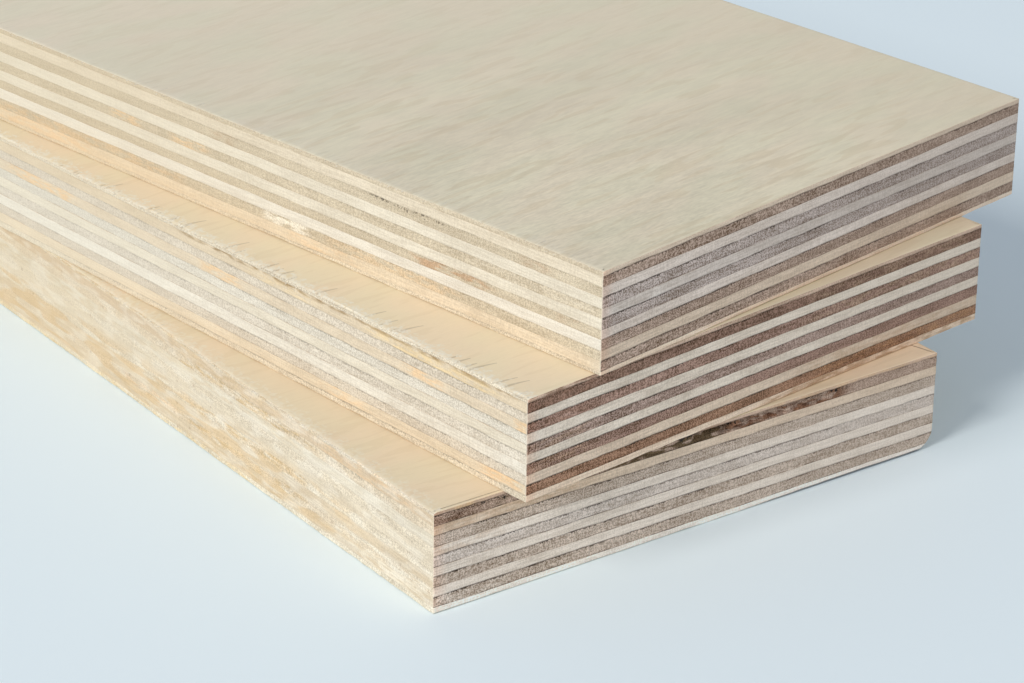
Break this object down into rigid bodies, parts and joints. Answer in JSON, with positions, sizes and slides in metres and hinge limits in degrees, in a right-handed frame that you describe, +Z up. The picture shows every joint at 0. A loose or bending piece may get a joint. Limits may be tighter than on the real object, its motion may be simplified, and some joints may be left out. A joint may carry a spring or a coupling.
{
  "type": "stack of plywood sheets",
  "caption": "Fanned stack of narrow birch plywood sheets with sawn edges that show the cross-banded veneer layers.",
  "frame": {"origin": "centre of the bottom sheet's underside, on the floor that the stack rests on", "axes": "+X along the length of the bottom sheet towards the near sawn ends, +Y across its width, away from the fanned corners, +Z up through the stack"},
  "size_m": [0.311, 0.139, 0.045],
  "materials": {
    "face_veneer": "sanded, unfinished",
    "crossband_veneer": "sawn, unfinished",
    "longband_veneer": "sawn, unfinished"
  },
  "bodies": {
    "root": {"bottom_sheet_ply_01_face": "face_veneer", "bottom_sheet_ply_02_crossband": "crossband_veneer", "bottom_sheet_ply_03_longband": "longband_veneer", "bottom_sheet_ply_04_crossband": "crossband_veneer", "bottom_sheet_ply_05_longband": "longband_veneer", "bottom_sheet_ply_06_crossband": "crossband_veneer", "bottom_sheet_ply_07_longband": "longband_veneer", "bottom_sheet_ply_08_crossband": "crossband_veneer", "bottom_sheet_ply_09_longband": "longband_veneer", "bottom_sheet_ply_10_crossband": "crossband_veneer", "bottom_sheet_ply_11_back": "face_veneer", "middle_sheet_ply_01_face": "face_veneer", "middle_sheet_ply_02_crossband": "crossband_veneer", "middle_sheet_ply_03_longband": "longband_veneer", "middle_sheet_ply_04_crossband": "crossband_veneer", "middle_sheet_ply_05_longband": "longband_veneer", "middle_sheet_ply_06_crossband": "crossband_veneer", "middle_sheet_ply_07_longband": "longband_veneer", "middle_sheet_ply_08_crossband": "crossband_veneer", "middle_sheet_ply_09_longband": "longband_veneer", "middle_sheet_ply_10_crossband": "crossband_veneer", "middle_sheet_ply_11_back": "face_veneer", "top_sheet_ply_01_face": "face_veneer", "top_sheet_ply_02_crossband": "crossband_veneer", "top_sheet_ply_03_longband": "longband_veneer", "top_sheet_ply_04_crossband": "crossband_veneer", "top_sheet_ply_05_longband": "longband_veneer", "top_sheet_ply_06_crossband": "crossband_veneer", "top_sheet_ply_07_longband": "longband_veneer", "top_sheet_ply_08_crossband": "crossband_veneer", "top_sheet_ply_09_longband": "longband_veneer", "top_sheet_ply_10_crossband": "crossband_veneer", "top_sheet_ply_11_back": "face_veneer"}
  },
  "joints": []
}
